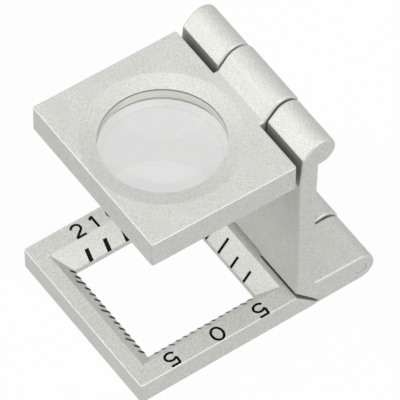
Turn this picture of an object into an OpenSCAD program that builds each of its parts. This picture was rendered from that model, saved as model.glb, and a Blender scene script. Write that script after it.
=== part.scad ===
// Folding magnifier of the linen-tester kind, in millimetres.
// The upright folds back and round the base's rear edge, the lens plate folds back and round the
// upright's top, and the three then lie flat on each other. X is across, +Y points to the hinges,
// +Z up. The origin is the middle of the outline, on the table.

/* [Window and scales] */
// Side of the square viewing window
window = 15; // [12:0.5:20]
// Height of the upright lip at the foot of the bevels
lip_h = 0.8; // [0.3:0.05:1]
// Run of the bevels, seen from above
bevel_run = 2.05; // [1.4:0.05:2.4]
// Pitch of the fine scale
mm_pitch = 1; // [0.8:0.1:1.5]
// How far the front fine scale is set off the middle, towards the far side
mm_front_off = 0.25; // [0:0.05:0.5]
// How far the near fine scale is set off the middle, towards the hinges
mm_side_off = 0.45; // [0:0.05:0.5]
// Width of a fine mark
mm_mark_w = 0.2; // [0.1:0.05:0.4]
// Length of a fine mark, up the bevel
mm_mark_l = 1.1; // [0.6:0.1:1.5]
// Length of each fifth fine mark, up the bevel
mm_long_l = 1.8; // [1:0.1:2.5]
// Pitch of the coarse scale, a tenth of an inch
inch_pitch = 2.54; // [2:0.01:3]
// Width of a coarse mark on the rear bevel
inch_mark_w = 0.3; // [0.2:0.05:0.5]
// Width of a coarse mark on the far side bevel
inch_bold_w = 0.42; // [0.2:0.01:0.6]
// Length of a coarse mark, up the bevel
inch_mark_l = 1.6; // [1:0.1:2.5]
// Length of the middle coarse mark, up the bevel
inch_long_l = 2.3; // [1:0.1:2.5]
// Thickness of the enamel of the marks
enamel_t = 0.04; // [0.02:0.01:0.1]

/* [Base] */
// Thickness of the base
base_t = 3.2; // [2.6:0.1:3.8]
// From the window to the base's sides
side_rail = 4.5; // [3.8:0.1:6]
// From the window to the base's front edge
front_rail = 4; // [3.2:0.1:6]
// From the window to the base's rear edge, on top
rear_rail = 2.7; // [2.5:0.1:4]
// Height of the blunt heel under the sloping rear edge
heel_h = 0.4; // [0.2:0.05:0.8]
// Radius of the upright corners of base and lens plate
corner_r = 0.3; // [0.2:0.05:1]
// Radius of the long edges of base and lens plate
edge_r = 0.15; // [0.1:0.05:0.5]

/* [Hinges] */
// Width of the middle knuckles
knuckle_w = 9.2; // [6:0.1:12]
// Side play between middle and outer knuckles
side_play = 0.25; // [0.1:0.05:0.4]
// Diameter of the lower hinge's outer knuckles, which is also the height of the feet
lower_d = 3.9; // [3.4:0.1:4.6]
// Diameter of the upper hinge's outer knuckles
upper_d = 3.9; // [3.4:0.1:4.2]
// How much fuller the middle knuckles are than the outer ones, on the radius
swell = 0.15; // [0:0.05:0.3]
// Radius of the knuckles' ends and of the upright's edges
knuckle_r = 0.3; // [0.2:0.05:0.5]
// Diameter of the hinge pins
pin_d = 1.6; // [1:0.1:2]
// Running clearance of a pin in its middle knuckle, on the radius
pin_play = 0.04; // [0.02:0.01:0.08]
// Interference of what is pressed in, on the radius
press = 0.01; // [0.005:0.005:0.02]
// Metal left beyond a pin's blind end
pin_cover = 2; // [1:0.1:3]
// Depth of a pin's dressed end below the casting
pin_sink = 0.04; // [0.02:0.01:0.2]

/* [Upright] */
// Thickness of the upright
slab_t = 2.4; // [2:0.1:3]
// Gap between the base's tongue and the arch over it
arch_gap = 0.8; // [0.4:0.1:2]
// Radius of the arch's corners
arch_r = 0.8; // [0.3:0.1:1.2]
// How far the upright stands over the base's rear edge
slab_over = 0.05; // [0:0.05:0.5]
// Gap left between the sloping faces when the upright is on its stop
stop_gap = 0.1; // [0.04:0.02:0.2]
// Angle by which the upright stands back from its stop, in degrees
stand_open = 1.6; // [1.4:0.1:3]
// From the upper hinge's axis down to the top of the upright's front face
head_drop = 0.2; // [0:0.05:0.8]
// From the upright's back to the upper hinge's axis
axis_back = 0.55; // [0.3:0.05:1]
// Radius between the upright's back and the feet
root_r = 0.4; // [0.2:0.1:0.8]

/* [Lens plate] */
// Thickness of the lens plate
plate_t = 3.85; // [3:0.05:4.2]
// From the upper hinge's axis forward to the middle of the lens
lens_reach = 13.5; // [12.5:0.1:16]
// From the lens bore to the plate's front edge
plate_front = 2.2; // [2:0.05:4]
// Gap between the plate's rear edge and the upright
plate_gap = 0.45; // [0.3:0.05:0.9]
// Height of the upper hinge's axis over the plate's top
axis_rise = 0.15; // [0:0.05:0.4]
// Gap between the plate's web and the ledge in the upright that stops it
ledge_gap = 0.2; // [0.15:0.05:0.4]
// From the upper hinge's axis forward to the foot of the middle knuckle's slope
slope_start = 2.8; // [2.5:0.05:3]
// From the upper hinge's axis forward to the back of the plate's web
web_back = 0.9; // [0.6:0.1:1.3]
// Diameter of the lens bore
bore_d = 14.9; // [12:0.1:15.2]
// Height of the lens bore's wall over the lens seat
bore_wall = 1.5; // [1:0.1:1.8]
// Width of the dished rim round the bore
dish_w = 1.85; // [1:0.05:1.85]
// Depth of the dished rim at the bore
dish_depth = 0.45; // [0.2:0.05:0.6]
// Play left between base and lens plate when all is folded
fold_gap = 0.15; // [0.1:0.05:0.4]
// Gap left between the folded lens plate's front edge and the feet
toe_gap = 0.8; // [0.2:0.1:1.5]

/* [Lens] */
// Diameter of the lens
lens_d = 16.4; // [15.8:0.1:16.8]
// Thickness of the lens at its edge
lens_edge = 0.5; // [0.3:0.05:0.6]
// Radius of the lens's upper face
lens_upper_r = 30; // [25:1:60]
// Radius of the lens's lower face
lens_lower_r = 60; // [50:1:100]
// Play round the lens, and between it and its seat and ring
lens_play = 0.05; // [0.02:0.01:0.1]
// Width of the retaining ring, from bore to outside
ring_w = 0.8; // [0.5:0.05:1.2]

/* [Hidden] */
$fn = 96;
small_fn = 24;
// Overshoot of a cut past the face that it opens
over = 1;

// Across
width = window + 2 * side_rail;
knuckle_in = knuckle_w / 2 + side_play;

// The upright is as long as the lens plate that folds down its back and ends above the feet,
// and the lower axis stands off far enough for the plate to lie between upright and base
lower_r = lower_d / 2;
upper_r = upper_d / 2;
plate_reach = lens_reach + bore_d / 2 + plate_front;
upright_h = plate_reach + toe_gap + lower_r;
plate_drop = plate_t + axis_rise;
hinge_set = plate_drop + lower_r + fold_gap;

// Along, counted from the window's centre, with the upright on its stop
base_rear = window / 2 + rear_rail;
slab_front = base_rear - slab_over;
slab_rear = slab_front + slab_t;
closed_upper_y = slab_rear + axis_back;
closed_upper_z = lower_r + upright_h;
lower_y = closed_upper_y + hinge_set;
base_front = -window / 2 - front_rail;
heel_y = base_rear + base_t - heel_h;
centre_y = (base_front + lower_y + lower_r + swell) / 2;

// Lens plate, at right angles to the upright
plate_top = closed_upper_z - axis_rise;
plate_under = plate_top - plate_t;
lens_y = closed_upper_y - lens_reach;
plate_front_y = closed_upper_y - plate_reach;
plate_rear_y = slab_front - plate_gap;
seat_z = plate_top - dish_depth - bore_wall;
seat_d = lens_d + 2 * lens_play;
dish_r = bore_d / 2 + dish_w;
dish_arc = (dish_w * dish_w + dish_depth * dish_depth) / (2 * dish_depth);

// Lens
function sag(r, face_r) = face_r - sqrt(face_r * face_r - r * r);
lens_rim_z = seat_z - lens_play - sag(lens_d / 2, lens_upper_r) + sag(bore_d / 2, lens_upper_r);
ring_bore_r = seat_d / 2 - ring_w;
ring_top = lens_rim_z - lens_edge - lens_play - sag(lens_d / 2, lens_lower_r)
           + sag(ring_bore_r, lens_lower_r);

// Bevels
bevel_rise = base_t - lip_h;
bevel_angle = atan2(bevel_rise, bevel_run);
mm_marks = floor((window / 2 - mm_mark_w) / mm_pitch);
inch_marks = floor((window / 2 - inch_bold_w) / inch_pitch);

casting = [0.78, 0.78, 0.75];
steel = [0.7, 0.71, 0.72];
glass = [0.85, 0.9, 0.9, 0.5];
enamel = [0.08, 0.08, 0.09];

// The point where the line from p touches the top of the circle of radius r round c
function touch(p, c, r) =
    let (d = norm(c - p), a = atan2(c[1] - p[1], c[0] - p[0]) + asin(r / d))
    p + sqrt(d * d - r * r) * [cos(a), sin(a)];

module rounded_rect(x0, x1, y0, y1, r) {
    translate([x0 + r, y0]) square([x1 - x0 - 2 * r, y1 - y0]);
    translate([x0, y0 + r]) square([x1 - x0, y1 - y0 - 2 * r]);
    for (x = [x0 + r, x1 - r], y = [y0 + r, y1 - r])
        translate([x, y]) circle(r, $fn = small_fn);
}

// A side view, drawn as (y, z), made solid between two places across
module along_x(x0, x1)
    translate([x0, 0, 0]) rotate([90, 0, 90]) linear_extrude(x1 - x0) children();

// A front view, drawn as (x, z), made solid between two places along
module along_y(y0, y1)
    translate([0, y1, 0]) rotate([90, 0, 0]) linear_extrude(y1 - y0) children();

module along_z(z0, z1)
    translate([0, 0, z0]) linear_extrude(z1 - z0) children();

module both_sides() {
    children();
    mirror([1, 0, 0]) children();
}

// A round knuckle across the part, its end edges rounded
module barrel(x0, x1, r)
    translate([x0, 0, 0]) rotate([0, 90, 0]) rotate_extrude() {
        square([r - knuckle_r, x1 - x0]);
        translate([0, knuckle_r]) square([r, x1 - x0 - 2 * knuckle_r]);
        for (s = [knuckle_r, x1 - x0 - knuckle_r])
            translate([r - knuckle_r, s]) circle(knuckle_r, $fn = small_fn);
    }

module rod(x0, x1, r)
    translate([x0, 0, 0]) rotate([0, 90, 0]) cylinder(h = x1 - x0, r = r);

module at_lower_axis() translate([0, lower_y, lower_r]) children();

module at_upper_axis() translate([0, closed_upper_y, closed_upper_z]) children();

// Turns the upright and what it carries back from the stop, about the lower axis
module standing()
    at_lower_axis() rotate([-stand_open, 0, 0]) translate([0, -lower_y, -lower_r]) children();

// Window with its four bevels, wider towards the top
module window_cut() {
    half = window / 2;
    top = half + bevel_run * (bevel_rise + over) / bevel_rise;
    outline = [[-half, -over], [half, -over], [half, lip_h], [top, base_t + over],
               [-top, base_t + over], [-half, lip_h]];
    intersection() {
        along_x(-width, width) polygon(outline);
        along_y(-width, width) polygon(outline);
    }
}

// Side view of the space that the base takes at its sloping rear edge, grown by a gap
module rear_slope(gap) {
    grow = gap * sqrt(2);
    rise = upper_d;
    polygon([[base_front, -over], [heel_y + grow, -over], [heel_y + grow, heel_h],
             [base_rear + grow - rise, base_t + rise], [base_front, base_t + rise]]);
}

module base_plate() color(casting) translate([0, -centre_y, 0]) {
    // The knuckle's underside is dressed flat, level with the base
    difference() {
        union() {
            intersection() {
                along_x(-width / 2, width / 2) intersection() {
                    rounded_rect(base_front, heel_y + over, 0, base_t, edge_r);
                    rear_slope(0);
                }
                along_y(base_front, heel_y)
                    rounded_rect(-width / 2, width / 2, 0, base_t, edge_r);
                along_z(0, base_t)
                    rounded_rect(-width / 2, width / 2, base_front, heel_y + corner_r, corner_r);
            }
            along_y(base_rear - over, lower_y)
                rounded_rect(-knuckle_w / 2, knuckle_w / 2, 0, base_t, edge_r);
            at_lower_axis() barrel(-knuckle_w / 2, knuckle_w / 2, lower_r + swell);
        }
        along_z(-over, 0) translate([-width, base_rear]) square([2 * width, width]);
        window_cut();
        at_lower_axis() rod(-knuckle_w, knuckle_w, pin_d / 2 + pin_play);
    }
}

// A mark on the rear bevel, turned to the other bevels by its callers
module mark(at, w, l)
    translate([at, window / 2, lip_h]) rotate([bevel_angle, 0, 0])
        translate([-w / 2, 0, 0]) cube([w, l, enamel_t]);

// Millimetre marks on the front and near bevels
module mm_graduations() color(enamel) translate([0, -centre_y, 0])
    for (side = [[180, mm_front_off], [-90, -mm_side_off]], k = [-mm_marks : mm_marks])
        if (abs(k * mm_pitch + side[1]) < window / 2 - mm_mark_w)
            rotate([0, 0, side[0]])
                mark(k * mm_pitch + side[1], mm_mark_w, k % 5 == 0 ? mm_long_l : mm_mark_l);

// Tenth-of-an-inch marks on the rear bevel, and bolder ones on the far bevel
module inch_graduations() color(enamel) translate([0, -centre_y, 0])
    for (side = [[0, inch_mark_w], [90, inch_bold_w]], k = [-inch_marks : inch_marks])
        rotate([0, 0, side[0]]) mark(k * inch_pitch, side[1], k == 0 ? inch_long_l : inch_mark_l);

// One foot, ending in an outer knuckle of the lower hinge. Its sole lies flat on the table as the
// upright stands.
module foot() {
    along_y(slab_front, lower_y) rounded_rect(knuckle_in, width / 2, 0, lower_d, knuckle_r);
    at_lower_axis() barrel(knuckle_in, width / 2, lower_r);
    along_x(knuckle_in, width / 2)
        polygon([[lower_y, lower_r], [slab_front, lower_r],
                 [slab_front, lower_r - lower_r / cos(stand_open)
                              - (lower_y - slab_front) * tan(stand_open)],
                 lower_r * [sin(stand_open), 1 - cos(stand_open)] + [lower_y, 0]]);
    along_x(knuckle_in + knuckle_r, width / 2 - knuckle_r) difference() {
        translate([slab_rear, lower_d]) square(root_r);
        translate([slab_rear + root_r, lower_d + root_r]) circle(root_r, $fn = small_fn);
    }
}

// One outer knuckle of the upper hinge, with the sloping face that rises to it
module head() {
    axis = [closed_upper_y, closed_upper_z];
    brow = [slab_front, closed_upper_z - head_drop];
    translate([0, axis[0], axis[1]]) barrel(knuckle_in, width / 2, upper_r);
    along_x(knuckle_in, width / 2)
        polygon([[slab_front, closed_upper_z - upper_d], brow, touch(brow, axis, upper_r), axis,
                 [slab_rear, closed_upper_z - upper_d]]);
}

module upright() color(casting) translate([0, -centre_y, 0]) standing() {
    ledge_z = closed_upper_z - plate_drop - ledge_gap;
    arch_z = base_t + arch_gap;
    difference() {
        union() {
            along_z(0, closed_upper_z - upper_r)
                rounded_rect(-width / 2, width / 2, slab_front, slab_rear, knuckle_r);
            both_sides() foot();
            both_sides() head();
        }
        // Arch over the tongue
        along_y(slab_front - over, slab_rear + over)
            rounded_rect(-knuckle_in, knuckle_in, -lower_d, arch_z, arch_r);
        // Notch for the lens plate's web and knuckle, with the ledge that stops the web
        translate([-knuckle_in, slab_front - over, ledge_z])
            cube([2 * knuckle_in, slab_t + 2 * over, upright_h]);
        // Sloping face that meets the base
        along_x(-width, width) rear_slope(stop_gap);
        // The lower pin is driven from the near side and the upper one from the far side
        at_lower_axis() rod(pin_cover - width / 2, width, pin_d / 2 - press);
        at_upper_axis() rod(-width, width / 2 - pin_cover, pin_d / 2 - press);
    }
}

module lower_hinge_pin() color(steel) translate([0, -centre_y, 0]) at_lower_axis()
    rod(pin_cover - width / 2, width / 2 - pin_sink, pin_d / 2);

module upper_hinge_pin() color(steel) translate([0, -centre_y, 0]) standing() at_upper_axis()
    rod(pin_sink - width / 2, width / 2 - pin_cover, pin_d / 2);

module lens_frame() color(casting) translate([0, -centre_y, 0]) standing() {
    axis = [closed_upper_y, closed_upper_z];
    toe = [closed_upper_y - slope_start, plate_top];
    web_y = closed_upper_y - web_back;
    difference() {
        union() {
            intersection() {
                along_x(-width / 2, width / 2)
                    rounded_rect(plate_front_y, plate_rear_y, plate_under, plate_top, edge_r);
                along_y(plate_front_y, plate_rear_y)
                    rounded_rect(-width / 2, width / 2, plate_under, plate_top, edge_r);
                along_z(plate_under, plate_top)
                    rounded_rect(-width / 2, width / 2, plate_front_y, plate_rear_y, corner_r);
            }
            along_x(-knuckle_w / 2, knuckle_w / 2)
                polygon([[plate_rear_y - over, plate_under], [plate_rear_y - over, plate_top],
                         toe, touch(toe, axis, upper_r + swell), axis, [web_y, closed_upper_z],
                         [web_y, plate_under]]);
            at_upper_axis() barrel(-knuckle_w / 2, knuckle_w / 2, upper_r + swell);
        }
        // Dished rim, rolling down into the bore
        translate([0, lens_y, plate_top]) rotate_extrude() difference() {
            translate([0, -dish_depth]) square([dish_r, dish_depth + over]);
            translate([dish_r, -dish_arc]) circle(dish_arc);
        }
        translate([0, lens_y, plate_under - over]) cylinder(h = plate_t + 2 * over, d = bore_d);
        translate([0, lens_y, plate_under - over])
            cylinder(h = seat_z - plate_under + over, d = seat_d);
        at_upper_axis() rod(-knuckle_w, knuckle_w, pin_d / 2 + pin_play);
    }
}

module lens() color(glass) translate([0, -centre_y, 0]) standing()
translate([0, lens_y, lens_rim_z]) intersection() {
    translate([0, 0, sag(lens_d / 2, lens_upper_r) - lens_upper_r])
        sphere(lens_upper_r, $fn = 2 * $fn);
    translate([0, 0, lens_lower_r - lens_edge - sag(lens_d / 2, lens_lower_r)])
        sphere(lens_lower_r, $fn = 3 * $fn);
    translate([0, 0, -lens_d / 2]) cylinder(h = lens_d, d = lens_d);
}

// Pressed in from below, flush with the plate's underside
module lens_retaining_ring() color(steel) translate([0, -centre_y, 0]) standing()
translate([0, lens_y, plate_under]) difference() {
    cylinder(h = ring_top - plate_under, r = seat_d / 2 + press);
    translate([0, 0, -over]) cylinder(h = plate_t, r = ring_bore_r);
}

base_plate();
mm_graduations();
inch_graduations();
upright();
lower_hinge_pin();
upper_hinge_pin();
lens_frame();
lens();
lens_retaining_ring();
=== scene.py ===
# Looks of a pocket folding magnifier: satin-plated zinc castings on plated pins, with a glass lens and
# black enamel scales. Everything is modelled in millimetres, with the window's centre at y = 0 as in
# the part's source, and is moved to the frame and turned to metres when a piece is finished.
import math

import bmesh
import bpy
from mathutils import Matrix, Vector


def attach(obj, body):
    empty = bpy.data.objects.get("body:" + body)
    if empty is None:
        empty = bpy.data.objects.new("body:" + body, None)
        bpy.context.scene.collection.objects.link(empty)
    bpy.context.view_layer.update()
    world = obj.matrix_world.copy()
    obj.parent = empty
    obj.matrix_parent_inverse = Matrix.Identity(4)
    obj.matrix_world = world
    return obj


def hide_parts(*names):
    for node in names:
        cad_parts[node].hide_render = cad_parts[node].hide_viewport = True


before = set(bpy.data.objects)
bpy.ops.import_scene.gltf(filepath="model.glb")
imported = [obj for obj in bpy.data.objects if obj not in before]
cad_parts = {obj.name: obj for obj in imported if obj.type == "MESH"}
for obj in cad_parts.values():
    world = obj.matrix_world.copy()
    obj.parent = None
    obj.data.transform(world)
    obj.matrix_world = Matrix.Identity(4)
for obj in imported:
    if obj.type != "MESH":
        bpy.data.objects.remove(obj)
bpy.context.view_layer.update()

MM = 0.001

# Steps on the rounds, from the finest edges to a full turn
WINDOW_STEPS = 3
RIM_STEPS = 4
CORNER_STEPS = 6
FILLET_STEPS = 6
ARCH_STEPS = 8
ROLL_STEPS = 10
LENS_STEPS = 20
STROKE_STEPS = 28
FOOT_STEPS = 32
HEAD_STEPS = 40
TURN_STEPS = 128

# Edges that turn by more than this stay crisp in the shading
CRISP = math.radians(32)
# Share of a face's normal above which the face looks squarely one way, or slants that way
SQUARELY = 0.95
SLANTING = 0.5
# Points this close are one, faces this close lie on a plane, and edges this close lie on a side
WELD = 1e-4
ON_PLANE = 1e-3
NEAR = 0.01
# The edges of the outline are within this of it, and a main edge runs further than this
OUTLINE = 1.0
# Solids that are joined or cut reach this far into or past each other
PAST = 1.0

# Window and its bevels
WINDOW = 15.0
LIP_H = 0.8
BEVEL_RUN = 2.05

# Marks. The fill stands a little wider than the engraving, most of all on the front and far bevels
MM_EACH_WAY = 7
MM_TALL = 1.1
MM_FIFTH_TALL = 1.8
MM_FRONT_W = 0.32
MM_SIDE_W = 0.22
MM_FRONT_OFF = 0.25
MM_SIDE_OFF = -0.45
MARK_MARGIN = 0.2
INCH_PITCH = 2.54
INCH_EACH_WAY = 2
INCH_TALL = 1.65
INCH_MIDDLE_TALL = 2.3
INCH_REAR_W = 0.33
INCH_SIDE_W = 0.52

# Base
BASE_T = 3.2
SIDE_RAIL = 4.5
FRONT_RAIL = 4.0
REAR_RAIL = 2.7
HEEL_H = 0.4
CORNER_R = 0.3
EDGE_R = 0.15
# Rounded edges are lightened, partly as wear and partly as a painted highlight, where their normals
# rise by these shares
WEAR_AND_HIGHLIGHT_FROM = 0.2
WEAR_AND_HIGHLIGHT_TO = 0.98
WINDOW_R = 0.08
ENAMEL_T = 0.04

# Hinges
KNUCKLE_W = 9.2
SIDE_PLAY = 0.25
LOWER_D = 3.9
UPPER_D = 3.9
SWELL = 0.15
KNUCKLE_R = 0.3
PIN_D = 1.6
PIN_PLAY = 0.04
PIN_COVER = 2.0
PIN_SINK = 0.04
PIN_BREAK = 0.06

# Upright
SLAB_T = 2.4
ARCH_GAP = 0.8
ARCH_R = 0.8
SLAB_OVER = 0.05
STOP_GAP = 0.09
# The gap over the base opens upwards by this much more
GAP_FLARE = 0.22
STAND_OPEN = math.radians(1.6)
AXIS_BACK = 0.55
ROOT_R = 0.4
# The casting leans back a little towards its head, and its brow is rounded
BROW_BACK = 0.42
BROW_UP = 0.15
BROW_R = 0.35
REAR_SWELL = 0.22
LEAN_FROM = 17.0

# Lens plate and lens
PLATE_T = 3.85
LENS_REACH = 13.5
PLATE_FRONT = 2.2
PLATE_GAP = 0.45
AXIS_RISE = 0.15
LEDGE_GAP = 0.2
SLOPE_START = 2.8
WEB_BACK = 0.9
BORE_D = 14.9
BORE_WALL = 1.45
DISH_W = 2.02
DISH_DEPTH = 0.5
DISH_ROLL = 1.5
# A band of painted shade just under the bore's rim, this tall
BORE_PAINTED_SHADE = 0.27
FOLD_GAP = 0.15
TOE_GAP = 0.8
LENS_D = 16.4
LENS_EDGE = 0.5
LENS_UPPER_R = 30.0
LENS_LOWER_R = 60.0
LENS_PLAY = 0.05
RING_W = 0.45
RING_BREAK = 0.1


def sag(r, face_r):
    return face_r - math.sqrt(face_r * face_r - r * r)


# What follows from them, as in the part's source. The upright and what it carries are built upright,
# on the stop, and then stood back.
HALF = WINDOW / 2
WIDTH = WINDOW + 2 * SIDE_RAIL
KNUCKLE_IN = KNUCKLE_W / 2 + SIDE_PLAY
LOWER_R = LOWER_D / 2
UPPER_R = UPPER_D / 2
REACH = LENS_REACH + BORE_D / 2 + PLATE_FRONT
UPRIGHT_H = REACH + TOE_GAP + LOWER_R
PLATE_DROP = PLATE_T + AXIS_RISE
HINGE_SET = PLATE_DROP + LOWER_R + FOLD_GAP
BASE_REAR = HALF + REAR_RAIL
SLAB_FRONT = BASE_REAR - SLAB_OVER
SLAB_REAR = SLAB_FRONT + SLAB_T
UPPER_Y = SLAB_REAR + AXIS_BACK
UPPER_Z = LOWER_R + UPRIGHT_H
LOWER_Y = UPPER_Y + HINGE_SET
BASE_FRONT = -HALF - FRONT_RAIL
HEEL_Y = BASE_REAR + BASE_T - HEEL_H
CENTRE_Y = (BASE_FRONT + LOWER_Y + LOWER_R + SWELL) / 2
PLATE_TOP = UPPER_Z - AXIS_RISE
PLATE_UNDER = PLATE_TOP - PLATE_T
LENS_Y = UPPER_Y - LENS_REACH
PLATE_FRONT_Y = UPPER_Y - REACH
PLATE_REAR_Y = SLAB_FRONT - PLATE_GAP
SEAT_Z = PLATE_TOP - DISH_DEPTH - BORE_WALL
SEAT_R = LENS_D / 2 + LENS_PLAY
LENS_RIM_Z = SEAT_Z - LENS_PLAY - sag(LENS_D / 2, LENS_UPPER_R) + sag(BORE_D / 2, LENS_UPPER_R)
RING_BORE_R = SEAT_R - RING_W
RING_TOP = (LENS_RIM_Z - LENS_EDGE - LENS_PLAY - sag(LENS_D / 2, LENS_LOWER_R)
            + sag(RING_BORE_R, LENS_LOWER_R))
ARCH_Z = BASE_T + ARCH_GAP
LEDGE_Z = UPPER_Z - PLATE_DROP - LEDGE_GAP


def oval(centre, across, up, start, end, steps):
    """Points on a part of an oval, its angles in degrees."""
    angles = [math.radians(start + (end - start) * k / steps) for k in range(steps + 1)]
    return [(centre[0] + across * math.cos(a), centre[1] + up * math.sin(a)) for a in angles]


def arc(centre, r, start, end, steps):
    return oval(centre, r, r, start, end, steps)


def blended(before, corner, after, r, steps):
    """Points of the round that blends a corner, on a way that turns to the right there."""
    back = (Vector(before) - Vector(corner)).normalized()
    ahead = (Vector(after) - Vector(corner)).normalized()
    half = back.angle(ahead) / 2
    centre = Vector(corner) + (back + ahead).normalized() * r / math.sin(half)
    spoke = Vector(corner) + back * r / math.tan(half) - centre
    start = math.degrees(math.atan2(spoke.y, spoke.x))
    return arc(centre, r, start, start - 180 + math.degrees(2 * half), steps)


def touch_angle(p, c, r):
    """Angle, in degrees, at which the line from p touches the top of the circle of radius r round c."""
    d = math.dist(p, c)
    line = math.atan2(c[1] - p[1], c[0] - p[0]) + math.asin(r / d)
    return math.degrees(line) + 90


def block(x0, x1, y0, y1, z0, z1):
    bm = bmesh.new()
    bmesh.ops.create_cube(bm, size=1)
    bmesh.ops.scale(bm, vec=(x1 - x0, y1 - y0, z1 - z0), verts=bm.verts)
    bmesh.ops.translate(bm, vec=((x0 + x1) / 2, (y0 + y1) / 2, (z0 + z1) / 2), verts=bm.verts)
    return bm


def turned(points, closed=False):
    """Half a section, its points as (radius, height), spun round the Z axis."""
    bm = bmesh.new()
    verts = [bm.verts.new((r, 0, z)) for r, z in points]
    edges = [bm.edges.new(pair) for pair in zip(verts, verts[1:])]
    if closed:
        edges.append(bm.edges.new((verts[-1], verts[0])))
    bmesh.ops.spin(bm, geom=verts + edges, cent=(0, 0, 0), axis=(0, 0, 1), dvec=(0, 0, 0),
                   angle=math.tau, steps=TURN_STEPS, use_merge=True, use_duplicate=False)
    bmesh.ops.remove_doubles(bm, verts=bm.verts, dist=WELD)
    bmesh.ops.recalc_face_normals(bm, faces=bm.faces)
    return bm


def laid_across(bm, x, y, z):
    """Turns a piece that was spun round Z to lie across the part, its foot at x."""
    bmesh.ops.rotate(bm, cent=(0, 0, 0), matrix=Matrix.Rotation(math.pi / 2, 3, "Y"), verts=bm.verts)
    bmesh.ops.translate(bm, vec=(x, y, z), verts=bm.verts)
    return bm


def barrel_of(length, r):
    """A knuckle with rounded ends, standing on the origin."""
    ends = [*arc((r - KNUCKLE_R, KNUCKLE_R), KNUCKLE_R, -90, 0, RIM_STEPS),
            *arc((r - KNUCKLE_R, length - KNUCKLE_R), KNUCKLE_R, 0, 90, RIM_STEPS)]
    return turned([(0, 0), *ends, (0, length)])


def stood(bm, y=0.0):
    """Moves a piece along by y and stands it back with the upright, about the lower hinge."""
    bmesh.ops.translate(bm, vec=(0, y, 0), verts=bm.verts)
    bmesh.ops.rotate(bm, cent=(0, LOWER_Y, LOWER_R), matrix=Matrix.Rotation(-STAND_OPEN, 3, "X"),
                     verts=bm.verts)
    return bm


def rod(x0, x1, y, z, r):
    return laid_across(turned([(0, 0), (r, 0), (r, x1 - x0), (0, x1 - x0)]), x0, y, z)


def rounded(bm, r, steps, chosen):
    """Rounds the edges for which chosen(edge, middle of the edge) is true."""
    edges = [e for e in bm.edges if chosen(e, (e.verts[0].co + e.verts[1].co) / 2)]
    bmesh.ops.bevel(bm, geom=edges, offset=r, segments=steps, profile=0.5, affect="EDGES",
                    material=-1, clamp_overlap=False)
    return bm


def sharp(edge):
    return edge.is_manifold and edge.calc_face_angle(0) > CRISP


def at_x(edge, x):
    return all(abs(v.co.x - x) < WELD for v in edge.verts)


def runs_along(edge, axis):
    return abs(edge.verts[0].co[axis] - edge.verts[1].co[axis]) > OUTLINE


def as_object(bm):
    mesh = bpy.data.meshes.new("blank")
    bm.to_mesh(mesh)
    bm.free()
    made = bpy.data.objects.new("blank", mesh)
    bpy.context.scene.collection.objects.link(made)
    return made


def joined(bm, others, operation="UNION"):
    """The solid with the others joined on, or taken away with DIFFERENCE."""
    body = as_object(bm)
    blanks = [as_object(other) for other in others]
    for blank in blanks:
        step = body.modifiers.new("step", "BOOLEAN")
        step.operation = operation
        step.solver = "EXACT"
        step.object = blank
    seen = body.evaluated_get(bpy.context.evaluated_depsgraph_get())
    result = bmesh.new()
    result.from_mesh(seen.to_mesh())
    seen.to_mesh_clear()
    for blank in [body, *blanks]:
        mesh = blank.data
        bpy.data.objects.remove(blank)
        bpy.data.meshes.remove(mesh)
    bmesh.ops.remove_doubles(result, verts=result.verts, dist=WELD)
    return result


def refinished(bm, index, chosen):
    """Gives the faces for which chosen(normal, middle) is true the piece's material of that index."""
    bm.normal_update()
    for face in bm.faces:
        if chosen(face.normal, face.calc_center_median()):
            face.material_index = index


def beside_knuckles(x):
    """Chooses the upright faces at x on either side, which face the next knuckle across its play."""
    return lambda n, m: abs(n.x) > SQUARELY and abs(abs(m.x) - x) < ON_PLANE


def on_long_edges(side, front, top):
    """Chooses the faces of the rounded top edges, at the sides and the front, that are lightened partly
    as wear and partly as a painted highlight.
    """
    return lambda n, m: (WEAR_AND_HIGHLIGHT_FROM < n.z < WEAR_AND_HIGHLIGHT_TO and m.z > top - EDGE_R
                         and (abs(m.x) > side - EDGE_R or m.y < front + EDGE_R))


def finished(name, bm, body, materials, stands_for=()):
    """The solid as a piece: moved to the frame, in metres, riding on its body."""
    bmesh.ops.translate(bm, vec=(0, -CENTRE_Y, 0), verts=bm.verts)
    bmesh.ops.scale(bm, vec=(MM, MM, MM), verts=bm.verts)
    for face in bm.faces:
        face.smooth = True
    for edge in bm.edges:
        edge.smooth = not sharp(edge)
    mesh = bpy.data.meshes.new(name)
    bm.to_mesh(mesh)
    bm.free()
    for material in materials:
        mesh.materials.append(material)
    piece = bpy.data.objects.new(name, mesh)
    bpy.context.scene.collection.objects.link(piece)
    shading = piece.modifiers.new("shading", "WEIGHTED_NORMAL")
    shading.keep_sharp = True
    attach(piece, body)
    if stands_for:
        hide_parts(*stands_for)


def add(tree, kind, sockets, **settings):
    """Adds a node. Each socket gets a number or colour, or the output that feeds it."""
    made = tree.nodes.new(kind)
    for key, value in settings.items():
        setattr(made, key, value)
    for key, value in sockets.items():
        if isinstance(value, bpy.types.NodeSocket):
            tree.links.new(value, made.inputs[key])
        else:
            made.inputs[key].default_value = value
    return made


def colour(code):
    """A colour written as sRGB hex, as linear red, green, blue and alpha."""
    channels = [int(code[k:k + 2], 16) / 255 for k in (1, 3, 5)]
    return [c / 12.92 if c <= 0.04045 else ((c + 0.055) / 1.055) ** 2.4 for c in channels] + [1.0]


def blank_material(name):
    made = bpy.data.materials.new(name)
    made.use_nodes = True
    made.node_tree.nodes.clear()
    return made, made.node_tree
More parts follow.
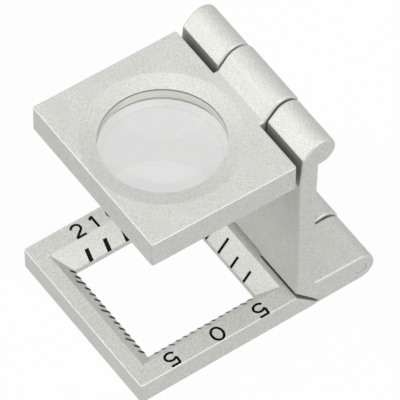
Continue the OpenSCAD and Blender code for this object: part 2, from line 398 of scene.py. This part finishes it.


# Zinc die casting, blasted and plated satin: a pearly grey with a fine grain that scatters the light.
# In the narrow gaps between parts and just under the bore's rim its colour is darkened as painted
# shade, and its long rounded edges are lightened, partly as wear and partly as a painted highlight. The
# grain runs from the low colour to the high one
def zinc_casting(name, low, high, metallic, glints=1.0):
    made, tree = blank_material(name)
    place = add(tree, "ShaderNodeTexCoord", {}).outputs["Object"]
    # Grit marks are about 0.05 mm, drawn at 0.12 mm so that the grain shows in the render
    grain = add(tree, "ShaderNodeTexNoise", {"Vector": place, "Scale": 8300.0, "Detail": 3.0,
                                             "Roughness": 0.7}).outputs[0]
    # Slow unevenness of the plating, about 3 mm across
    cloud = add(tree, "ShaderNodeTexNoise", {"Vector": place, "Scale": 330.0, "Detail": 2.0}).outputs[0]
    grit = add(tree, "ShaderNodeMapRange", {"Value": grain, "From Min": 0.14, "From Max": 0.86})
    speck = add(tree, "ShaderNodeMix", {0: grit.outputs[0], 6: colour(low), 7: colour(high)},
                data_type="RGBA")
    tone = add(tree, "ShaderNodeMix", {0: cloud, 6: colour("#F4F4F3"), 7: colour("#FFFFFF")},
               data_type="RGBA")
    base = add(tree, "ShaderNodeMix", {0: 1.0, 6: speck.outputs[2], 7: tone.outputs[2]},
               data_type="RGBA", blend_type="MULTIPLY")
    rough = add(tree, "ShaderNodeMapRange", {"Value": grain, "To Min": 0.4, "To Max": 0.6})
    bump = add(tree, "ShaderNodeBump", {"Height": grain, "Strength": 0.4 * glints, "Distance": 0.00002})
    skin = add(tree, "ShaderNodeBsdfPrincipled", {"Base Color": base.outputs[2], "Metallic": metallic,
                                                  "Roughness": rough.outputs[0],
                                                  "Normal": bump.outputs[0]})
    add(tree, "ShaderNodeOutputMaterial", {"Surface": skin.outputs[0]})
    return made


# Black enamel wiped into the engraving and baked: nearly black, with a soft gloss
def black_enamel():
    made, tree = blank_material("baked_black_enamel")
    place = add(tree, "ShaderNodeTexCoord", {}).outputs["Object"]
    # Fill that thins in places, in patches of about 0.3 mm
    fill = add(tree, "ShaderNodeTexNoise", {"Vector": place, "Scale": 3300.0, "Detail": 2.0}).outputs[0]
    base = add(tree, "ShaderNodeMix", {0: fill, 6: colour("#050505"), 7: colour("#161617")},
               data_type="RGBA")
    rough = add(tree, "ShaderNodeMapRange", {"Value": fill, "To Min": 0.3, "To Max": 0.5})
    skin = add(tree, "ShaderNodeBsdfPrincipled", {"Base Color": base.outputs[2],
                                                  "Roughness": rough.outputs[0],
                                                  "Specular IOR Level": 0.05})
    add(tree, "ShaderNodeOutputMaterial", {"Surface": skin.outputs[0]})
    return made


# Ground and polished crown glass, faintly grey, with a haze of dust on it
def crown_glass():
    made, tree = blank_material("polished_crown_glass")
    place = add(tree, "ShaderNodeTexCoord", {}).outputs["Object"]
    # Dust and wiping marks, about 1 mm across
    dust = add(tree, "ShaderNodeTexNoise", {"Vector": place, "Scale": 1000.0, "Detail": 3.0}).outputs[0]
    base = add(tree, "ShaderNodeMix", {0: dust, 6: colour("#D9D9D8"), 7: colour("#DEDFDE")},
               data_type="RGBA")
    rough = add(tree, "ShaderNodeMapRange", {"Value": dust, "To Min": 0.0, "To Max": 0.03})
    skin = add(tree, "ShaderNodeBsdfPrincipled", {"Base Color": base.outputs[2], "IOR": 1.52,
                                                  "Roughness": rough.outputs[0],
                                                  "Specular IOR Level": 0.1,
                                                  "Transmission Weight": 1.0})
    add(tree, "ShaderNodeOutputMaterial", {"Surface": skin.outputs[0]})
    return made


# Bore turned clean after casting, and the ring turned to fit it: smoother than the skin, and near
# white, partly from the turning and partly as painted light where they lie in shade under the rim and
# the lens
def turned_zinc_with_painted_light():
    made, tree = blank_material("turned_zinc_with_painted_light")
    place = add(tree, "ShaderNodeTexCoord", {}).outputs["Object"]
    # Tool marks round the bore, 0.06 mm apart
    rings = add(tree, "ShaderNodeMapping", {"Vector": place, "Scale": (200.0, 200.0, 16000.0)})
    marks = add(tree, "ShaderNodeTexNoise", {"Vector": rings.outputs[0], "Scale": 1.0,
                                             "Detail": 2.0}).outputs[0]
    base = add(tree, "ShaderNodeMix", {0: marks, 6: colour("#E8E7E0"), 7: colour("#FAF9F3")},
               data_type="RGBA")
    rough = add(tree, "ShaderNodeMapRange", {"Value": marks, "To Min": 0.25, "To Max": 0.4})
    skin = add(tree, "ShaderNodeBsdfPrincipled", {"Base Color": base.outputs[2], "Metallic": 0.3,
                                                  "Roughness": rough.outputs[0]})
    add(tree, "ShaderNodeOutputMaterial", {"Surface": skin.outputs[0]})
    return made


CASTING = zinc_casting("satin_plated_zinc", "#96968F", "#FFFFFC", metallic=0.3)
# Darker copy that paints shade in the gaps between parts
SHADE_PAINTED_ZINC = zinc_casting("zinc_with_painted_shade", "#73736D", "#B4B4AE", metallic=0.1, glints=0.6)
# Lighter copy for the rounded edges: partly wear, partly a painted highlight
EDGE_WEAR_AND_HIGHLIGHT = zinc_casting("edge_wear_and_painted_highlight", "#BEBEB8", "#FFFFFF", metallic=0.3, glints=0.6)
TURNED_WITH_PAINTED_LIGHT = turned_zinc_with_painted_light()
ENAMEL = black_enamel()
GLASS = crown_glass()

# Skins of each casting, the main one first
BASE_SKINS = [CASTING, SHADE_PAINTED_ZINC, EDGE_WEAR_AND_HIGHLIGHT]
UPRIGHT_SKINS = [CASTING, SHADE_PAINTED_ZINC]
PLATE_SKINS = [CASTING, SHADE_PAINTED_ZINC, TURNED_WITH_PAINTED_LIGHT, EDGE_WEAR_AND_HIGHLIGHT]
# The darker skin that paints shade in the gaps has the same place in all three
PAINTED_SHADE_SLOT = 1


def swept(points, start, end, front=False):
    """A side view, points as (y, z), made solid across. With front, a front view, as (x, z), along."""
    bm = bmesh.new()
    face = bm.faces.new([bm.verts.new((a, start, z) if front else (start, a, z)) for a, z in points])
    made = bmesh.ops.extrude_face_region(bm, geom=[face])
    moved = [g for g in made["geom"] if isinstance(g, bmesh.types.BMVert)]
    run = end - start
    bmesh.ops.translate(bm, vec=(0, run, 0) if front else (run, 0, 0), verts=moved)
    bmesh.ops.recalc_face_normals(bm, faces=bm.faces)
    return bm


def square(bm, x0, x1, y0, y1, z):
    """A level four-cornered ring, returned as its edges."""
    ring = bmesh.ops.create_circle(bm, cap_ends=False, radius=math.sqrt(0.5), segments=4)["verts"]
    bmesh.ops.rotate(bm, cent=(0, 0, 0), matrix=Matrix.Rotation(math.pi / 4, 3, "Z"), verts=ring)
    bmesh.ops.scale(bm, vec=(x1 - x0, y1 - y0, 1), verts=ring)
    bmesh.ops.translate(bm, vec=((x0 + x1) / 2, (y0 + y1) / 2, z), verts=ring)
    return [e for e in bm.edges if all(v in ring for v in e.verts)]


def base_casting():
    """Frame round the window, with the tongue and the middle knuckle of the lower hinge."""
    side = WIDTH / 2
    bevel_top = HALF + BEVEL_RUN
    body = bmesh.new()
    rings = [square(body, -HALF, HALF, -HALF, HALF, 0),
             square(body, -HALF, HALF, -HALF, HALF, LIP_H),
             square(body, -bevel_top, bevel_top, -bevel_top, bevel_top, BASE_T),
             square(body, -side, side, BASE_FRONT, BASE_REAR, BASE_T),
             square(body, -side, side, BASE_FRONT, HEEL_Y, HEEL_H),
             square(body, -side, side, BASE_FRONT, HEEL_Y, 0)]
    for ring, following in zip(rings, rings[1:] + rings[:1]):
        bmesh.ops.bridge_loops(body, edges=ring + following)
    bmesh.ops.recalc_face_normals(body, faces=body.faces)
    rounded(body, CORNER_R, CORNER_STEPS,
            lambda e, m: m.y < BASE_FRONT + NEAR and abs(m.x) > side - NEAR and sharp(e))
    rounded(body, EDGE_R, RIM_STEPS,
            lambda e, m: sharp(e) and (m.y < BASE_FRONT + OUTLINE or abs(m.x) > side - OUTLINE))
    rounded(body, WINDOW_R, WINDOW_STEPS,
            lambda e, m: sharp(e) and max(abs(m.x), abs(m.y)) < bevel_top + NEAR)
    tongue = block(-KNUCKLE_W / 2, KNUCKLE_W / 2, BASE_REAR - PAST / 2, LOWER_Y, 0, BASE_T)
    rounded(tongue, EDGE_R, RIM_STEPS, lambda e, m: runs_along(e, 1))
    barrel = barrel_of(KNUCKLE_W, LOWER_R + SWELL)
    laid_across(barrel, -KNUCKLE_W / 2, LOWER_Y, LOWER_R)
    level = block(-KNUCKLE_W, KNUCKLE_W, HEEL_Y + PAST, LOWER_Y + LOWER_D, -PAST, 0)
    bore = rod(-KNUCKLE_W, KNUCKLE_W, LOWER_Y, LOWER_R, PIN_D / 2 + PIN_PLAY)
    solid = joined(joined(body, [tongue, barrel]), [level, bore], "DIFFERENCE")
    # Painted shade on the faces beside the middle knuckle
    refinished(solid, PAINTED_SHADE_SLOT, beside_knuckles(KNUCKLE_W / 2))
    # Rounded top edges lightened, partly as wear and partly as a painted highlight
    refinished(solid, BASE_SKINS.index(EDGE_WEAR_AND_HIGHLIGHT), on_long_edges(side, BASE_FRONT, BASE_T))
    # Painted shade on the slope under the upright's feet
    refinished(solid, PAINTED_SHADE_SLOT, lambda n, m: n.y > SLANTING and n.z > SLANTING
               and abs(m.x) > KNUCKLE_W / 2 and BASE_REAR + NEAR < m.y < HEEL_Y)
    return solid


def upright_casting():
    """Slab on two feet, with the outer knuckles of both hinges, stood back from its stop."""
    grow = STOP_GAP * math.sqrt(2)
    slope_z = BASE_REAR + grow + BASE_T - SLAB_FRONT + GAP_FLARE
    slope_run = (HEEL_Y + grow - SLAB_FRONT) / (slope_z - HEEL_H)
    lean = math.degrees(STAND_OPEN)
    # The sole lies flat on the table once the upright is stood back
    sole_z = LOWER_R - LOWER_R / math.cos(STAND_OPEN) + (HEEL_Y + grow - LOWER_Y) * math.tan(STAND_OPEN)
    axis = (UPPER_Y, UPPER_Z)
    ledge = (SLAB_FRONT, LEDGE_Z)
    brow = (SLAB_FRONT + BROW_BACK, UPPER_Z + BROW_UP)
    head = arc(axis, UPPER_R, touch_angle(brow, axis, UPPER_R),
               -90 - math.degrees(math.asin((AXIS_BACK - REAR_SWELL) / UPPER_R)), HEAD_STEPS)
    swell_at_ledge = REAR_SWELL * (LEDGE_Z - LEAN_FROM) / (UPPER_Z - UPPER_R - LEAN_FROM)
    rear = [(SLAB_REAR + swell_at_ledge, LEDGE_Z), (SLAB_REAR, LEAN_FROM)]
    root = (SLAB_REAR + ROOT_R, LOWER_D + ROOT_R)
    leaf = [(HEEL_Y + grow, sole_z), (HEEL_Y + grow, HEEL_H), (SLAB_FRONT, slope_z), ledge,
            *blended(ledge, brow, head[0], BROW_R, FILLET_STEPS), *head, *rear,
            *arc(root, ROOT_R, 180, 270, FILLET_STEPS),
            *arc((LOWER_Y, LOWER_R), LOWER_R, 90, lean - 90, FOOT_STEPS)]

    def rim(edge, middle):
        """Chooses the edges of knuckles and feet, apart from those that the slab joins."""
        in_slab = root[1] < middle.z < LEDGE_Z
        return at_x(edge, WIDTH / 2) or at_x(edge, KNUCKLE_IN) and not in_slab

    near = rounded(swept(leaf, KNUCKLE_IN, WIDTH / 2), KNUCKLE_R, RIM_STEPS, rim)
    far = near.copy()
    bmesh.ops.scale(far, vec=(-1, 1, 1), verts=far.verts)
    bmesh.ops.recalc_face_normals(far, faces=far.faces)
    reach = KNUCKLE_IN + PAST
    crown = KNUCKLE_IN - ARCH_R
    spring_z = ARCH_Z - ARCH_R
    foot_z = spring_z - PAST / 2
    slab = swept([ledge, *rear, (SLAB_REAR, foot_z),
                  (SLAB_FRONT + (slope_z - foot_z) * slope_run, foot_z), (SLAB_FRONT, slope_z)],
                 -reach, reach)
    arch = swept([(KNUCKLE_IN, 0), (-KNUCKLE_IN, 0),
                  *arc((-crown, spring_z), ARCH_R, 180, 90, ARCH_STEPS),
                  *arc((crown, spring_z), ARCH_R, 90, 0, ARCH_STEPS)],
                 SLAB_FRONT - PAST, SLAB_REAR + PAST, front=True)
    slab = joined(slab, [arch], "DIFFERENCE")
    solid = joined(near, [far, slab])
    bores = [rod(PIN_COVER - WIDTH / 2, WIDTH, LOWER_Y, LOWER_R, PIN_D / 2),
             rod(-WIDTH, WIDTH / 2 - PIN_COVER, UPPER_Y, UPPER_Z, PIN_D / 2)]
    solid = joined(solid, bores, "DIFFERENCE")
    # Painted shade beside the knuckles, under the slab's slope and on the heads' front walls
    refinished(solid, PAINTED_SHADE_SLOT, beside_knuckles(KNUCKLE_IN))
    refinished(solid, PAINTED_SHADE_SLOT, lambda n, m: n.y < -SLANTING and n.z < -SLANTING and m.z < slope_z)
    refinished(solid, PAINTED_SHADE_SLOT, lambda n, m: n.y < -SQUARELY and LEDGE_Z < m.z < UPPER_Z + BROW_UP)
    return stood(solid)


def lens_plate_casting():
    """Plate with the dished lens bore, and the web and middle knuckle of the upper hinge."""
    side = WIDTH / 2
    plate = block(-side, side, PLATE_FRONT_Y, PLATE_REAR_Y, PLATE_UNDER, PLATE_TOP)
    rounded(plate, CORNER_R, CORNER_STEPS, lambda e, m: runs_along(e, 2))
    rounded(plate, EDGE_R, RIM_STEPS, lambda e, m: sharp(e))
    axis = (UPPER_Y, UPPER_Z)
    toe = (UPPER_Y - SLOPE_START, PLATE_TOP)
    knuckle_r = UPPER_R + SWELL
    under = -90 - math.degrees(math.asin(WEB_BACK / knuckle_r))
    leaf = [(PLATE_REAR_Y - PAST, PLATE_UNDER), (PLATE_REAR_Y - PAST, PLATE_TOP), toe,
            *arc(axis, knuckle_r, touch_angle(toe, axis, knuckle_r), under, HEAD_STEPS),
            (UPPER_Y - WEB_BACK, PLATE_UNDER)]
    web = rounded(swept(leaf, -KNUCKLE_W / 2, KNUCKLE_W / 2), KNUCKLE_R, RIM_STEPS,
                  lambda e, m: at_x(e, KNUCKLE_W / 2) or at_x(e, -KNUCKLE_W / 2))
    bore_r = BORE_D / 2
    rim_z = PLATE_TOP - DISH_DEPTH
    shade_z = rim_z - BORE_PAINTED_SHADE
    roll = blended((bore_r, rim_z), (bore_r + DISH_W, PLATE_TOP), (side, PLATE_TOP), DISH_ROLL,
                   ROLL_STEPS)
    section = [(0, PLATE_TOP + PAST), (roll[-1][0], PLATE_TOP + PAST), *reversed(roll),
               (bore_r, rim_z), (bore_r, shade_z), (bore_r, SEAT_Z), (SEAT_R, SEAT_Z),
               (SEAT_R, PLATE_UNDER - PAST), (0, PLATE_UNDER - PAST)]
    opening = turned(section)
    bmesh.ops.translate(opening, vec=(0, LENS_Y, 0), verts=opening.verts)
    bore = rod(-KNUCKLE_W, KNUCKLE_W, UPPER_Y, UPPER_Z, PIN_D / 2 + PIN_PLAY)
    solid = joined(joined(plate, [web]), [opening, bore], "DIFFERENCE")

    def within(r, low, high):
        """Chooses the faces within r of the bore's axis, between two heights."""
        return lambda n, m: math.hypot(m.x, m.y - LENS_Y) < r + NEAR and low < m.z < high

    # Painted shade beside the middle knuckle and on the plate's rear face
    refinished(solid, PAINTED_SHADE_SLOT, beside_knuckles(KNUCKLE_W / 2))
    refinished(solid, PAINTED_SHADE_SLOT, lambda n, m: n.y > SQUARELY and abs(m.y - PLATE_REAR_Y) < ON_PLANE)
    # Bore wall and seat in the turned finish, whose near white is partly painted light
    refinished(solid, PLATE_SKINS.index(TURNED_WITH_PAINTED_LIGHT), within(SEAT_R, PLATE_UNDER - PAST, rim_z))
    # Painted shade on a band just under the bore's rim
    refinished(solid, PAINTED_SHADE_SLOT, within(bore_r, shade_z, rim_z))
    # Rounded top edges lightened, partly as wear and partly as a painted highlight
    refinished(solid, PLATE_SKINS.index(EDGE_WEAR_AND_HIGHLIGHT), on_long_edges(side, PLATE_FRONT_Y, PLATE_TOP))
    return stood(solid)


def ground_lens():
    """Lens with a convex upper face and a flatter lower one."""
    r = LENS_D / 2
    upper = math.degrees(math.asin(r / LENS_UPPER_R))
    lower = math.degrees(math.asin(r / LENS_LOWER_R))
    upper_centre = LENS_RIM_Z + sag(r, LENS_UPPER_R) - LENS_UPPER_R
    lower_centre = LENS_RIM_Z - LENS_EDGE - sag(r, LENS_LOWER_R) + LENS_LOWER_R
    faces = [*arc((0, upper_centre), LENS_UPPER_R, 90, 90 - upper, LENS_STEPS),
             *arc((0, lower_centre), LENS_LOWER_R, lower - 90, -90, LENS_STEPS)]
    return stood(turned(faces), LENS_Y)


def retaining_ring():
    """Pressed in from below, its lower edges broken."""
    broken_z = PLATE_UNDER + RING_BREAK
    section = [(RING_BORE_R, RING_TOP), (RING_BORE_R, broken_z),
               (RING_BORE_R + RING_BREAK, PLATE_UNDER), (SEAT_R - RING_BREAK, PLATE_UNDER),
               (SEAT_R, broken_z), (SEAT_R, RING_TOP)]
    return stood(turned(section, closed=True), LENS_Y)


def hinge_pin(x0, x1, y, z):
    """Pin with chamfered ends."""
    r = PIN_D / 2
    end_r = r - PIN_BREAK
    length = x1 - x0
    section = [(0, 0), (end_r, 0), (r, PIN_BREAK), (r, length - PIN_BREAK), (end_r, length),
               (0, length)]
    return laid_across(turned(section), x0, y, z)


finished("base_casting", base_casting(), "base", BASE_SKINS, ["base_plate"])
finished("upright_casting", upright_casting(), "upright", UPRIGHT_SKINS,
         ["upright"])
finished("lens_plate_casting", lens_plate_casting(), "lens_plate", PLATE_SKINS,
         ["lens_frame"])
finished("ground_lens", ground_lens(), "lens_plate", [GLASS], ["lens"])
# The ring's near white is partly painted light
finished("retaining_ring", retaining_ring(), "lens_plate", [TURNED_WITH_PAINTED_LIGHT],
         ["lens_retaining_ring"])
finished("lower_pin", hinge_pin(PIN_COVER - WIDTH / 2, WIDTH / 2 - PIN_SINK, LOWER_Y, LOWER_R),
         "upright", [CASTING], ["lower_hinge_pin"])
finished("upper_pin", stood(hinge_pin(PIN_SINK - WIDTH / 2, WIDTH / 2 - PIN_COVER, UPPER_Y, UPPER_Z)),
         "upright", [CASTING], ["upper_hinge_pin"])


def graduations(name, rows, stands_for):
    """Enamel marks on the bevels. A row: its turn from the rear bevel, in degrees, then its marks."""
    bm = bmesh.new()
    tilt = Matrix.Rotation(math.atan2(BASE_T - LIP_H, BEVEL_RUN), 4, "X")
    for turn, marks in rows:
        for at, wide, tall in marks:
            size = Matrix.Diagonal((wide, tall, ENAMEL_T, 1))
            place = (Matrix.Rotation(math.radians(turn), 4, "Z") @ Matrix.Translation((at, HALF, LIP_H))
                     @ tilt @ Matrix.Translation((0, tall / 2, ENAMEL_T / 2)) @ size)
            bmesh.ops.create_cube(bm, size=1, matrix=place)
    finished(name, bm, "base", [ENAMEL], stands_for)


def fine_row(off, wide):
    """Millimetre marks, each fifth one taller, in a row that is off from the bevel's middle."""
    return [(k + off, wide, MM_TALL if k % 5 else MM_FIFTH_TALL)
            for k in range(-MM_EACH_WAY, MM_EACH_WAY + 1) if abs(k + off) < HALF - MARK_MARGIN]


def coarse_row(wide):
    """Tenth-of-an-inch marks, the middle one taller."""
    return [(INCH_PITCH * k, wide, INCH_TALL if k else INCH_MIDDLE_TALL)
            for k in range(-INCH_EACH_WAY, INCH_EACH_WAY + 1)]


graduations("millimetre_marks", [(180, fine_row(MM_FRONT_OFF, MM_FRONT_W)),
                                 (-90, fine_row(MM_SIDE_OFF, MM_SIDE_W))], ["mm_graduations"])
graduations("inch_marks", [(0, coarse_row(INCH_REAR_W)), (90, coarse_row(INCH_SIDE_W))],
            ["inch_graduations"])


def bowl(u, v, across, up, start, end):
    """Points on a round stroke."""
    return oval((u, v), across, up, start, end, STROKE_STEPS)


# Middle lines of the numerals' strokes, to the right and up from a numeral's own centre
NUMERALS = {
    "0": [bowl(0, 0, 0.71, 0.9, 0, 360)],
    "1": [[(0.12, -0.9), (0.12, 0.9)], [(0.12, 0.86), (-0.34, 0.5)]],
    "2": [bowl(-0.02, 0.34, 0.6, 0.56, 165, -38) + [(-0.56, -0.84)], [(-0.68, -0.9), (0.66, -0.9)]],
    "5": [[(0.66, 0.9), (-0.58, 0.9)], [(-0.52, 0.9), (-0.56, 0.02)],
          bowl(0.04, -0.35, 0.68, 0.56, 150, -152)],
}
STROKE_W = 0.32
# Middle of each numeral, and the side that its top is on
MM_NUMERALS = [("5", 10.93, 5.88), ("0", 10.85, -0.09), ("5", 10.77, -6.32)]
INCH_NUMERALS = [("2", -10.58, -4.89), ("1", -10.53, -2.62), ("0", -10.54, -0.03), ("1", -10.42, 2.46),
                 ("2", -10.37, 4.83)]


def enamelled_numerals(name, row):
    """Round strokes, pressed flat into the top of the base."""
    drawn = bpy.data.curves.new(name, "CURVE")
    drawn.dimensions = "3D"
    drawn.bevel_depth = STROKE_W / 2
    drawn.bevel_resolution = 3
    drawn.use_fill_caps = True
    for digit, x, y in row:
        up = math.copysign(1, x)
        for path in NUMERALS[digit]:
            spline = drawn.splines.new("POLY")
            spline.points.add(len(path) - 1)
            for point, (u, v) in zip(spline.points, path):
                point.co = (x + up * v, y - up * u, 0, 1)
    holder = bpy.data.objects.new(name, drawn)
    mesh = bpy.data.meshes.new_from_object(holder)
    bpy.data.objects.remove(holder)
    bm = bmesh.new()
    bm.from_mesh(mesh)
    bmesh.ops.scale(bm, vec=(1, 1, ENAMEL_T / STROKE_W), verts=bm.verts)
    bmesh.ops.translate(bm, vec=(0, 0, BASE_T), verts=bm.verts)
    finished(name, bm, "base", [ENAMEL])


enamelled_numerals("mm_numerals", MM_NUMERALS)
enamelled_numerals("inch_numerals", INCH_NUMERALS)


def seen_directly(tree):
    """1 for what the camera sees itself, or in a reflection or through glass."""
    path = add(tree, "ShaderNodeLightPath", {})
    total = add(tree, "ShaderNodeMath", {0: path.outputs["Is Camera Ray"],
                                         1: path.outputs["Is Glossy Ray"]}, operation="ADD")
    return add(tree, "ShaderNodeMath", {0: total.outputs[0], 1: path.outputs["Is Transmission Ray"]},
               operation="ADD", use_clamp=True).outputs[0]


# Half the sheet's side, and its gap under the base, in metres. The gap keeps their faces apart
FLOOR_HALF = 0.6
FLOOR_GAP = 0.00002
# How much of what is seen of the sheet is its own white, and the rest its light and shadow
OWN_WHITE = 0.92


# White paper sheet, matt. It shows white, with a trace of the object's shadow
def white_paper():
    made, tree = blank_material("matt_white_paper")
    sheet = add(tree, "ShaderNodeBsdfDiffuse", {"Color": colour("#A8A8A6")})
    glow = add(tree, "ShaderNodeEmission", {"Color": colour("#FFFFFF"), "Strength": 1.04})
    amount = add(tree, "ShaderNodeMath", {0: seen_directly(tree), 1: OWN_WHITE}, operation="MULTIPLY")
    shown = add(tree, "ShaderNodeMixShader", {0: amount.outputs[0], 1: sheet.outputs[0],
                                              2: glow.outputs[0]})
    add(tree, "ShaderNodeOutputMaterial", {"Surface": shown.outputs[0]})
    return made


floor_bm = bmesh.new()
bmesh.ops.create_grid(floor_bm, x_segments=1, y_segments=1, size=FLOOR_HALF)
bmesh.ops.translate(floor_bm, vec=(0, 0, -FLOOR_GAP), verts=floor_bm.verts)
floor_mesh = bpy.data.meshes.new("floor")
floor_bm.to_mesh(floor_mesh)
floor_bm.free()
floor_mesh.materials.append(white_paper())
floor = bpy.data.objects.new("floor", floor_mesh)
bpy.context.scene.collection.objects.link(floor)

world = bpy.data.worlds.new("studio")
world.use_nodes = True
sky = world.node_tree
sky.nodes.clear()
ambient = add(sky, "ShaderNodeMapRange", {"Value": seen_directly(sky), "To Min": 0.2, "To Max": 1.0})
air = add(sky, "ShaderNodeBackground", {"Color": colour("#FFFFFF"), "Strength": ambient.outputs[0]})
add(sky, "ShaderNodeOutputWorld", {"Surface": air.outputs[0]})
bpy.context.scene.world = world


def lamp(name, strength, spread, towards):
    """A soft lamp far off, its spread in degrees. Its light comes from where towards points."""
    light = bpy.data.lights.new(name, "SUN")
    light.energy = strength
    light.angle = math.radians(spread)
    placed = bpy.data.objects.new(name, light)
    placed.rotation_mode = "QUATERNION"
    placed.rotation_quaternion = Vector(towards).to_track_quat("Z", "Y")
    bpy.context.scene.collection.objects.link(placed)


lamp("side", strength=1.82, spread=50, towards=(0.79, 0.0, 0.61))
lamp("overhead", strength=0.64, spread=60, towards=(0.0, 0.0, 1.0))
lamp("front", strength=0.88, spread=50, towards=(-0.48, -0.84, 0.26))
lamp("front_high", strength=0.58, spread=60, towards=(-0.45, -0.54, 0.71))

# The photograph's viewpoint: long lens, from the right and above, held a little askew
CAMERA_TOWARDS = (-0.500734, 0.332148, -0.799339)
CAMERA_ROLL = math.radians(-1.437)
camera = bpy.data.objects.new("camera", bpy.data.cameras.new("camera"))
camera.data.lens = 725.03
camera.data.sensor_width = 36
camera.data.clip_start = 0.1
camera.data.clip_end = 5
camera.location = (0.461457, -0.305826, 0.74949)
camera.rotation_mode = "QUATERNION"
aim = Vector(CAMERA_TOWARDS).to_track_quat("-Z", "Y")
roll = Matrix.Rotation(CAMERA_ROLL, 3, "Z").to_quaternion()
camera.rotation_quaternion = aim @ roll
bpy.context.scene.collection.objects.link(camera)
bpy.context.scene.camera = camera

bpy.context.scene.view_settings.view_transform = "Standard"
